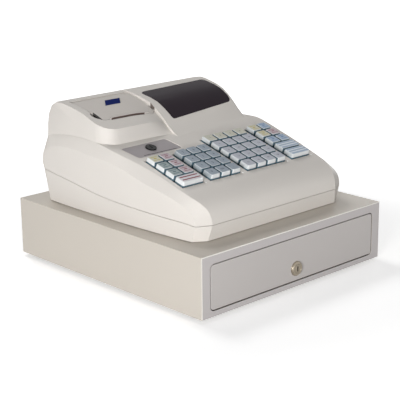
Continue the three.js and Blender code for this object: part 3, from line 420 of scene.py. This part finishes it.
def cabinet_finish(left, top):
    """Powder coat, greyer on the front and with a painted highlight along the front's folds, with black
    rubber for what is lower than the sheet."""
    finish = painted_steel("cabinet_powder_coat", STEEL_PAINT)
    x, _, z = finish.axes()
    # Painted highlight along the front's left and top folds
    fold_highlight = (x < left + FOLD_WIDTH) | (z > top - FOLD_WIDTH)
    rubber = z < RUBBER_BELOW
    finish.paint_over(finish.facing(FRONT) > FRONT_FACING, finish.mix(fold_highlight, FRAME_PAINT, FOLD_HIGHLIGHT))
    finish.paint_over(rubber, RUBBER)
    return finish.set(Roughness=finish.given["Roughness"] + 0.3 * rubber)


def drawer_finish(front, right, bottom):
    """Powder coat on the panel, with painted shade along its lower and right rim, and nickel on the lock's
    bezel and barrel, which stand out in front of the cabinet."""
    finish = painted_steel("drawer_powder_coat", PANEL_PAINT)
    x, y, z = finish.axes()
    bezel = in_circle(x, z, (0, LOCK_HEIGHT), LOCK_BEZEL_RADIUS) * (y < front)
    # Painted shade along the panel's lower and right rim
    rim = ((z < bottom + RIM_SHADE) | (x > right - RIM_SHADE)) * (y < front + PANEL_DEPTH)
    finish.paint_over(rim, PANEL_SHADE).paint_over(bezel, NICKEL)
    return finish.set(Metallic=bezel, Roughness=finish.given["Roughness"] - 0.18 * bezel)


def turned_metal(name, colour, roughness):
    """Metal turned on a lathe, with faint marks round its axis."""
    finish = Finish(name)
    marks = finish.noise(scale=1800, detail=3, stretch=(1, 0.05, 1))
    return finish.set(
        Base_Color=finish.varied(colour, scale=60, amount=0.12),
        Metallic=1.0,
        Roughness=roughness + 0.15 * marks,
        Normal=finish.bump(marks, depth=0.01 * MM, normal=finish.rounded(0.3 * MM)),
    )


def lock_plug_finish():
    """Nickel with painted shade in the keyway."""
    finish = turned_metal("lock_plug_nickel", NICKEL, roughness=0.28)
    x, _, z = finish.axes()
    # Painted shade where the keyway goes into the plug
    return finish.paint_over(in_oblong(x, z, (0, LOCK_HEIGHT), KEYWAY), KEYWAY_SHADE)


def smoked_window():
    """Smoked acrylic, nearly black, over the display."""
    finish = Finish("smoked_window")
    return finish.set(
        Base_Color=finish.varied(SMOKED, scale=20, amount=0.2),
        Roughness=0.2 + 0.05 * finish.noise(scale=30, detail=2),
        Specular_IOR_Level=0.1,
        IOR=1.25,
        Normal=finish.rounded(0.4 * MM),
    )


def matt_black(name, colour, roughness):
    """Dark plastic or rubber with a fine, dull texture."""
    finish = Finish(name)
    texture = finish.noise(scale=1900, detail=2)
    return finish.set(
        Base_Color=finish.varied(colour, scale=40, amount=0.2),
        Specular_IOR_Level=0.2,
        Roughness=roughness + 0.15 * texture,
        Normal=finish.bump(texture, depth=0.015 * MM, normal=finish.rounded(0.3 * MM)),
    )


def paper_finish():
    """Wound paper: the ends show its turns as fine rings."""
    finish = Finish("till_paper")
    fibres = finish.noise(scale=1200, detail=4)
    turns = finish.noise(scale=3000, detail=1, stretch=(0.02, 1, 1))
    return finish.set(
        Base_Color=finish.mix(turns, PAPER_EDGE, PAPER),
        Roughness=0.82 + 0.1 * fibres,
        Normal=finish.bump(fibres + turns, depth=0.02 * MM),
    )


def clear_key_cap(block, open_sides, axes, top):
    """Clear cap over a printed insert, with painted shade on its sides: a side that has no key beside it is
    pale above a shaded foot, the others are shaded up to a thin pale top edge.
    Open sides are a string of the letters F, B, L and R. The top is its height out of the deck's plane."""
    finish = Finish("clear_key_cap_" + block + "_" + (open_sides or "enclosed"))
    across, up_slope, out = axes
    ways = {"F": -up_slope, "B": up_slope, "L": -across, "R": across}
    height = finish.along(finish.place(), out)
    # Painted shade covers the sides below the pale height, and the sides with a key beside them up to the
    # thin top edge
    above_skirt = height > top - CAP_PALE_HEIGHT
    pale = height > top - CAP_EDGE
    for side in open_sides:
        paleness = LEFT_SIDE_PALENESS[block] if side == "L" else 1
        pale = pale | (finish.facing(ways[side]) > SIDE_FACING) * above_skirt * paleness
    return finish.set(
        Base_Color=finish.mix(pale, KEY_SHADE, finish.varied(KEY_CLEAR, scale=160, amount=0.05)),
        Roughness=0.2 + 0.1 * finish.noise(scale=220, detail=2),
        Coat_Weight=0.3,
        Normal=finish.rounded(0.4 * MM),
    )


def printed_insert(name, ground, ink=None, strokes=()):
    """A key's insert under its clear cap, with its print, and plain ink where there are no strokes."""
    finish = Finish(name)
    x, y, _ = finish.axes()
    finish.set(
        Base_Color=finish.varied(ground, scale=120, amount=0.06),
        Roughness=0.42 + 0.1 * finish.noise(scale=300, detail=2),
        Normal=finish.bump(finish.noise(scale=90, detail=1), depth=0.03 * MM),
    )
    for middle, half_height, half_length in strokes:
        finish.paint_over(in_oblong(x, y, (0, middle), (half_length, half_height)), ink)
    return finish


def join_and_shade():
    """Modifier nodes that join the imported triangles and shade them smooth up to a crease."""
    group = bpy.data.node_groups.new("join_and_shade", "GeometryNodeTree")
    for way in ("INPUT", "OUTPUT"):
        group.interface.new_socket("Geometry", in_out=way, socket_type="NodeSocketGeometry")
    wiring = Wiring(group)
    packed = wiring.node("NodeGroupInput")
    joined = wiring.node("GeometryNodeMergeByDistance",
                         inputs={"Geometry": packed, "Distance": JOIN_DISTANCE})
    turn = wiring.node("GeometryNodeInputMeshEdgeAngle", output="Unsigned Angle")
    crisp = wiring.node("FunctionNodeCompare", {"operation": "GREATER_THAN"}, {"A": turn, "B": CREASE})
    shaded = wiring.node("GeometryNodeSetMeshNormal", {"mode": "SHARPNESS"},
                         {"Mesh": joined, "Remove Custom": True, "Edge Sharpness": crisp})
    wiring.node("NodeGroupOutput", inputs={0: shaded})
    return group


def add_piece(name, data, finish, body, place):
    """Puts a new piece in the scene, gives it its finish and lets it ride on its body."""
    piece = bpy.data.objects.new(name, data)
    bpy.context.scene.collection.objects.link(piece)
    piece.matrix_world = place
    data.materials.append(finish.material)
    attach(piece, body)


def mesh_data(name, mesh):
    """What was modelled in a bmesh, as the data of a piece."""
    data = bpy.data.meshes.new(name)
    mesh.to_mesh(data)
    mesh.free()
    return data


def band(mesh, first, second):
    """Faces between two closed rings of as many points."""
    for k, point in enumerate(first):
        after = (k + 1) % len(first)
        mesh.faces.new((point, first[after], second[after], second[k]))


def rounded_corners(corners, radius):
    """The outline through these corners, each one turned with this radius."""
    outline = []
    for k, corner in enumerate(corners):
        corner = Vector(corner)
        before = (Vector(corners[k - 1]) - corner).normalized()
        after = (Vector(corners[(k + 1) % len(corners)]) - corner).normalized()
        half = before.angle(after) / 2
        centre = corner + (before + after).normalized() * (radius / math.sin(half))
        start = (corner + before * (radius / math.tan(half)) - centre).normalized()
        end = (corner + after * (radius / math.tan(half)) - centre).normalized()
        for step in range(CORNER_STEPS + 1):
            outline.append(centre + start.slerp(end, step / CORNER_STEPS) * radius)
    return outline


def soft_plate(outline, bottom, top, soften):
    """A closed plate over an outline, its top edge drawn in a little."""
    mesh = bmesh.new()
    middle = sum(outline, Vector((0, 0))) / len(outline)
    loops = []
    for inset, height in ((0, bottom), (0, top - soften), (soften, top)):
        drawn_in = [point + (middle - point).normalized() * inset for point in outline]
        loops.append([mesh.verts.new((*point, height)) for point in drawn_in])
    for lower, upper in zip(loops, loops[1:]):
        band(mesh, lower, upper)
    mesh.faces.new(loops[0][::-1])
    mesh.faces.new(loops[-1])
    return mesh


def deck_axes(press_axis):
    """Across, up the slope and out of the deck, from the way that the keys go down."""
    out = -Vector(press_axis).normalized()
    across = Vector((1, 0, 0))
    return across, out.cross(across), out


def deck_matrix(origin, axes):
    """Lays what is made flat on the deck, with its middle at the origin given."""
    turned = Matrix([[*row] for row in zip(*axes)]).to_4x4()
    return Matrix.Translation(origin) @ turned


def key_extent(node, axes):
    """Middle of a key's top, and the key's width and depth, in the deck's directions."""
    points = [vertex.co for vertex in node.data.vertices]
    lows = [min(point.dot(axis) for point in points) for axis in axes]
    highs = [max(point.dot(axis) for point in points) for axis in axes]
    across, up_slope, out = axes
    middle = across * (lows[0] + highs[0]) / 2 + up_slope * (lows[1] + highs[1]) / 2 + out * highs[2]
    return middle, highs[0] - lows[0], highs[1] - lows[1]


def key_address(name):
    """A key's block, row and column, with row 1 at the front and column 1 at the left."""
    block, _, row, column = name.split("_")
    return block, int(row), int(column)


def number_curve(name, text, height):
    """A number in generic figures, a little thicker than the ink it stands for."""
    data = bpy.data.curves.new(name, "FONT")
    data.body = text
    data.size = height
    data.align_x = "CENTER"
    data.align_y = "CENTER"
    data.resolution_u = CURVE_STEPS
    data.extrude = NUMBER_RISE
    return data


def open_sides_of(extent, others):
    """The sides of a key that have no key beside them, from places on the deck."""
    x, y, half_x, half_y = extent
    beside = {
        "F": (x, y - half_y - KEY_REACH),
        "B": (x, y + half_y + KEY_REACH),
        "L": (x - half_x - KEY_REACH, y),
        "R": (x + half_x + KEY_REACH, y),
    }
    return "".join(
        side for side, (near_x, near_y) in beside.items()
        if not any(abs(near_x - ox) < hx and abs(near_y - oy) < hy for ox, oy, hx, hy in others))


def dress_keys(nodes, axes):
    """Each key's clear cap, its insert and its number. Gives the front right corner of each block, where
    the last key of row 1 stands on the deck."""
    across, up_slope, out = axes
    keys = {name: key_extent(node, axes) for name, node in sorted(nodes.items()) if "_key_" in name}
    extents = {name: (middle.dot(across), middle.dot(up_slope), width / 2, depth / 2)
               for name, (middle, width, depth) in keys.items()}
    inserts = {name: printed_insert("insert_" + name, *look) for name, look in INSERTS.items()}
    ink = printed_insert("key_ink", INK)
    caps = {}
    corners = {}
    for name, (middle, width, depth) in keys.items():
        block, row, column = key_address(name)
        kind = (block, open_sides_of(extents[name], extents.values()))
        if kind not in caps:
            caps[kind] = clear_key_cap(*kind, axes, middle.dot(out))
        nodes[name].data.materials[0] = caps[kind].material

        half_x = width / 2 - KEY_TOP_INSET - INSERT_MARGIN
        half_y = depth / 2 - KEY_TOP_INSET - INSERT_MARGIN
        outline = rounded_corners(
            [(-half_x, -half_y), (half_x, -half_y), (half_x, half_y), (-half_x, half_y)], INSERT_CORNER)
        plate = mesh_data(name + "_insert", soft_plate(outline, -INSERT_RISE, INSERT_RISE, INSERT_RISE / 2))
        insert = inserts[KEY_INSERTS[block][row - 1][column - 1]]
        add_piece(name + "_insert", plate, insert, name, deck_matrix(middle, axes))

        if block in KEY_NUMBERS:
            text = KEY_NUMBERS[block][row - 1][column - 1]
            curve = number_curve(name + "_number", text, NUMBER_HEIGHTS[block])
            place = deck_matrix(middle + out * INSERT_RISE, axes)
            add_piece(name + "_number", curve, ink, name, place)
        if row == 1:
            corners[block] = middle + across * width / 2 - up_slope * depth / 2 - out * KEY_STAND
    return corners


def corner_domes(corners, axes):
    """A small white dome on the deck beside each block's front right corner."""
    across, up_slope, _ = axes
    finish = moulded_plastic("white_dome", DOME_WHITE)
    for block, corner in corners.items():
        mesh = bmesh.new()
        bmesh.ops.create_uvsphere(mesh, u_segments=16, v_segments=8, radius=DOME_RADIUS)
        bmesh.ops.scale(mesh, vec=(1, 1, DOME_FLATNESS), verts=mesh.verts)
        for face in mesh.faces:
            face.smooth = True
        name = block + "_block_dome"
        place = deck_matrix(corner + (across - up_slope) * DOME_OFFSET, axes)
        add_piece(name, mesh_data(name, mesh), finish, "base", place)


def switch_plate(nodes, axes):
    """Grey plate in the sunk place round the mode switch, with a hole for the switch and a dark line."""
    _, up_slope, out = axes
    deck = key_extent(nodes["digit_key_1_1"], axes)[0] - out * KEY_STAND

    def on_deck(x, y):
        """A place given as seen from above, measured on the sloping deck."""
        return Vector((x, (y - deck.y) / up_slope.y))

    corners = [on_deck(*corner) for corner in PLATE_CORNERS]
    middle = sum(corners, Vector((0, 0))) / len(corners)
    outline = rounded_corners(
        [point + (middle - point).normalized() * PLATE_INSET for point in corners], PLATE_CORNER_RADIUS)
    hole = on_deck(*SWITCH_CENTRE)
    rim = [hole + (point - hole).normalized() * SWITCH_HOLE_RADIUS for point in outline]
    mesh = bmesh.new()
    low_edge, low_rim, high_edge, high_rim = [
        [mesh.verts.new((*point, height)) for point in loop]
        for height in (PLATE_BOTTOM, PLATE_TOP) for loop in (outline, rim)]
    band(mesh, low_edge, low_rim)
    band(mesh, high_edge, high_rim)
    band(mesh, low_edge, high_edge)
    band(mesh, low_rim, high_rim)
    bmesh.ops.recalc_face_normals(mesh, faces=mesh.faces)

    finish = moulded_plastic(
        "switch_plate_grey", PLATE_GREY, grain=0.006 * MM, edge=0.3 * MM, mottle=(30, 0.04))
    x, y, _ = finish.axes()
    left, right = PLATE_LINE_X
    line_middle = ((left + right) / 2, on_deck(0, PLATE_LINE_Y).y)
    line = in_oblong(x, y, line_middle, ((right - left) / 2, PLATE_LINE_HALF_WIDTH))
    finish.paint_over(line, PLATE_LINE_DARK)
    place = deck_matrix(Vector((0, deck.y, deck.z)), axes)
    add_piece("switch_plate", mesh_data("switch_plate", mesh), finish, "base", place)


def blank_badge(cover):
    """A plain plate on the printer cover, bent to the cover's own surface."""
    points = [vertex.co for vertex in cover.data.vertices]
    surface = BVHTree.FromPolygons(points, [face.vertices for face in cover.data.polygons])
    mesh = bmesh.new()
    grids = []
    for lift in BADGE_LAYERS:
        grid = []
        for row in range(BADGE_ROWS + 1):
            back = row / BADGE_ROWS - 0.5
            for column in range(BADGE_COLUMNS + 1):
                x = BADGE_CENTRE[0] + (column / BADGE_COLUMNS - 0.5) * BADGE_SIZE[0] + back * BADGE_LEAN
                y = BADGE_CENTRE[1] + back * BADGE_SIZE[1]
                hit = surface.ray_cast(Vector((x, y, RAY_HEIGHT)), -Vector(UP))[0]
                grid.append(mesh.verts.new(hit + Vector((0, 0, lift))))
        grids.append(grid)

    # Each point's number in its grid counts along the rows, and the border's go once round the plate
    wide = BADGE_COLUMNS + 1
    for grid in grids:
        for row in range(BADGE_ROWS):
            for k in range(row * wide, row * wide + BADGE_COLUMNS):
                mesh.faces.new((grid[k], grid[k + 1], grid[k + 1 + wide], grid[k + wide]))
    last = wide * (BADGE_ROWS + 1)
    border = [*range(wide), *range(2 * wide - 1, last, wide), *range(last - 2, last - wide - 1, -1),
              *range(last - 2 * wide, 0, -wide)]
    band(mesh, *([grid[k] for k in border] for grid in grids))
    bmesh.ops.recalc_face_normals(mesh, faces=mesh.faces)

    finish = Finish("blank_badge_blue")
    finish.set(
        Base_Color=finish.varied(BADGE_BLUE, scale=60, amount=0.15),
        Roughness=0.75,
        Specular_IOR_Level=0.03,
        Normal=finish.rounded(0.2 * MM),
    )
    add_piece("blank_badge", mesh_data("blank_badge", mesh), finish, "cover", Matrix())


def finish_machine(nodes):
    """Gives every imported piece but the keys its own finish."""
    (cabinet_left, cabinet_front, _), (_, _, cabinet_top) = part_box("drawer_cabinet")
    (_, _, panel_bottom), (panel_right, _, _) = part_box("cash_drawer")
    finishes = {
        "drawer_cabinet": cabinet_finish(cabinet_left, cabinet_top),
        "cash_drawer": drawer_finish(cabinet_front + FRONT_CLEARANCE, panel_right, panel_bottom),
        "drawer_lock_plug": lock_plug_finish(),
        "till_insert": matt_black("till_tray", TILL_GREY, roughness=0.5),
        "lower_housing": moulded_plastic("warm_white_housing", MOULDED),
        "upper_housing": tower_shell("warm_white_tower", MOULDED),
        "key_frame": matt_black("key_frame_black", FRAME_BLACK, roughness=0.55),
        "printer_cover": cover_finish(),
        "platen_roller": matt_black("platen_rubber", RUBBER, roughness=0.6),
        "printing_mechanism": turned_metal("print_head_metal", MACHINED, roughness=0.4),
        "paper_roll": paper_finish(),
        "display_window": smoked_window(),
        "mode_switch": matt_black("switch_black", BLACK_PLASTIC, roughness=0.35),
    }
    for name, finish in finishes.items():
        nodes[name].data.materials[0] = finish.material


def soften_shading(nodes):
    """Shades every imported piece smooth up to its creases."""
    group = join_and_shade()
    for node in nodes.values():
        node.modifiers.new("join_and_shade", "NODES").node_group = group


def seen(wiring):
    """Whether a ray is what the camera sees, straight or in metal and through glass."""
    kinds = ("Is Camera Ray", "Is Glossy Ray", "Is Transmission Ray")
    straight, glossy, through = [wiring.node("ShaderNodeLightPath", output=kind) for kind in kinds]
    return straight + glossy + through


def surroundings():
    """White to the camera, and an even, plain level of light all round."""
    world = bpy.data.worlds.new("studio")
    bpy.context.scene.world = world
    world.use_nodes = True
    wiring = Wiring(world.node_tree)
    background = world.node_tree.nodes["Background"]
    level = wiring.node("ShaderNodeMix", inputs={0: seen(wiring), 2: WORLD_LEVEL, 3: 1})
    wiring.feed(background.inputs["Strength"], level)
    wiring.feed(background.inputs["Color"], WHITE)


def pale_floor():
    """Floor that keeps the machine's shadow, with a painted shade round the machine where its glow is
    lower, and goes over into white further out.
    """
    mesh = bmesh.new()
    bmesh.ops.create_grid(mesh, x_segments=1, y_segments=1, size=FLOOR_HALF)
    floor = bpy.data.objects.new("floor", mesh_data("floor", mesh))
    floor.location.z = FLOOR_LEVEL
    bpy.context.scene.collection.objects.link(floor)
    finish = Finish("floor_paper")
    away = finish.node("ShaderNodeVectorMath", {"operation": "LENGTH"}, {0: finish.place()}, output="Value")
    # The glow is lower near the machine, a painted shade round it in which the lamps' real shadow also
    # falls
    shaded_glow = finish.node("ShaderNodeMapRange", {"interpolation_type": "SMOOTHSTEP"}, {
        "Value": away,
        "From Min": FLOOR_GLOW_REACH[0],
        "From Max": FLOOR_GLOW_REACH[1],
        "To Min": FLOOR_GLOW[0],
        "To Max": FLOOR_GLOW[1],
    })
    lit = finish.node("ShaderNodeCombineColor", inputs={0: shaded_glow, 1: shaded_glow, 2: shaded_glow})
    finish.set(
        Base_Color=FLOOR_PAINT,
        Roughness=0.9,
        Specular_IOR_Level=0.1,
        Emission_Color=finish.mix(seen(finish), BLACK, lit),
        Emission_Strength=1.0,
    )
    floor.data.materials.append(finish.material)


def soft_lamps():
    """Round lamps, all aimed at the middle of the machine."""
    for name, place, size, power in LAMPS:
        lamp = bpy.data.lights.new(name, "AREA")
        lamp.shape = "DISK"
        lamp.size = size
        lamp.energy = power
        holder = bpy.data.objects.new(name, lamp)
        holder.location = place
        holder.rotation_euler = (LAMP_AIM - Vector(place)).to_track_quat("-Z", "Y").to_euler()
        bpy.context.scene.collection.objects.link(holder)


def photograph_camera():
    """The photograph's viewpoint. The roll tips the camera about its own line of sight."""
    data = bpy.data.cameras.new("camera")
    data.lens = CAMERA_LENS
    data.sensor_width = CAMERA_SENSOR
    data.sensor_fit = "HORIZONTAL"
    data.clip_start, data.clip_end = CAMERA_CLIP
    camera = bpy.data.objects.new("camera", data)
    level = math.cos(CAMERA_ELEVATION)
    back = Vector((math.sin(CAMERA_AZIMUTH) * level, -math.cos(CAMERA_AZIMUTH) * level,
                   math.sin(CAMERA_ELEVATION)))
    right = (-back).cross(Vector(UP)).normalized()
    up = right.cross(-back)
    tilted_right = right * math.cos(CAMERA_ROLL) + up * math.sin(CAMERA_ROLL)
    tilted_up = up * math.cos(CAMERA_ROLL) - right * math.sin(CAMERA_ROLL)
    turned = Matrix([[*row] for row in zip(tilted_right, tilted_up, back)]).to_4x4()
    camera.matrix_world = Matrix.Translation(CAMERA_PLACE) @ turned
    bpy.context.scene.collection.objects.link(camera)
    bpy.context.scene.camera = camera


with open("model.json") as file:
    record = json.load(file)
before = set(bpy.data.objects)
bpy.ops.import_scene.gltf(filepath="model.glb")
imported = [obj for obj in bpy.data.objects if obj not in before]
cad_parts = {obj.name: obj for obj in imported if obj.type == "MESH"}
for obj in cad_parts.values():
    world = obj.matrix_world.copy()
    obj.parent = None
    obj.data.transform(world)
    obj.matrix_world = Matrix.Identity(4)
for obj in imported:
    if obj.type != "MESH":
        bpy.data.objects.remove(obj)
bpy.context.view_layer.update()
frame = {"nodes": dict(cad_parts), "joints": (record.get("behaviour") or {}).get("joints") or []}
machine = frame["nodes"]
press = next(joint for joint in frame["joints"] if joint["name"].endswith("_press"))
deck = deck_axes(press["axis"])

photograph_camera()
finish_machine(machine)
corner_domes(dress_keys(machine, deck), deck)
switch_plate(machine, deck)
blank_badge(machine["printer_cover"])
soften_shading(machine)
surroundings()
pale_floor()
soft_lamps()
bpy.context.scene.view_settings.view_transform = "Standard"
